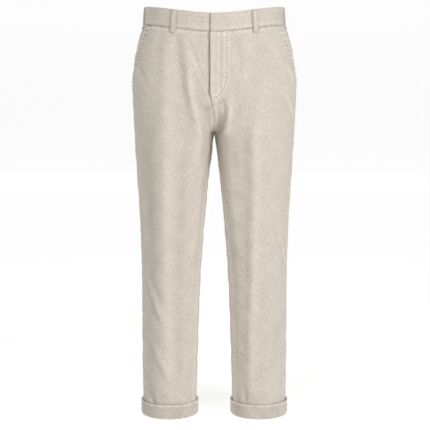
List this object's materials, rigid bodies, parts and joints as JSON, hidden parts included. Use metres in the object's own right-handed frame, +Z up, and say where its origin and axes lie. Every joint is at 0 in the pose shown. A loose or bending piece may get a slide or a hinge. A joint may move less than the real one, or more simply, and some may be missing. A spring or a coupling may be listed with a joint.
{
  "type": "corduroy trousers, filled out as worn",
  "caption": "Hollow full-length trousers of fine corduroy, filled out as worn, with tapered legs, belt loops, slanted pockets and turned-up cuffs.",
  "frame": {"origin": "middle of the waist, half way up the waistband at the side seams, where the wearer holds the trousers up", "axes": "+Z up along the body, -Y to the front, +X to the wearer's left"},
  "size_m": [0.3726, 0.254, 0.9425],
  "materials": {
    "corduroy": "fine-wale cotton corduroy with a short matt pile, pale beige, sewn with matching thread"
  },
  "bodies": {
    "root": {"front_left": "corduroy", "front_right": "corduroy", "back_left": "corduroy", "back_right": "corduroy", "pocket_side_left": "corduroy", "pocket_side_right": "corduroy", "fly_shield": "corduroy", "waistband_left": "corduroy", "waistband_right": "corduroy", "belt_loop_front_left": "corduroy", "belt_loop_front_right": "corduroy", "belt_loop_side_left": "corduroy", "belt_loop_side_right": "corduroy", "belt_loop_back_left": "corduroy", "belt_loop_back_right": "corduroy", "belt_loop_back_middle": "corduroy", "cuff_left": "corduroy", "cuff_right": "corduroy"}
  },
  "joints": []
}
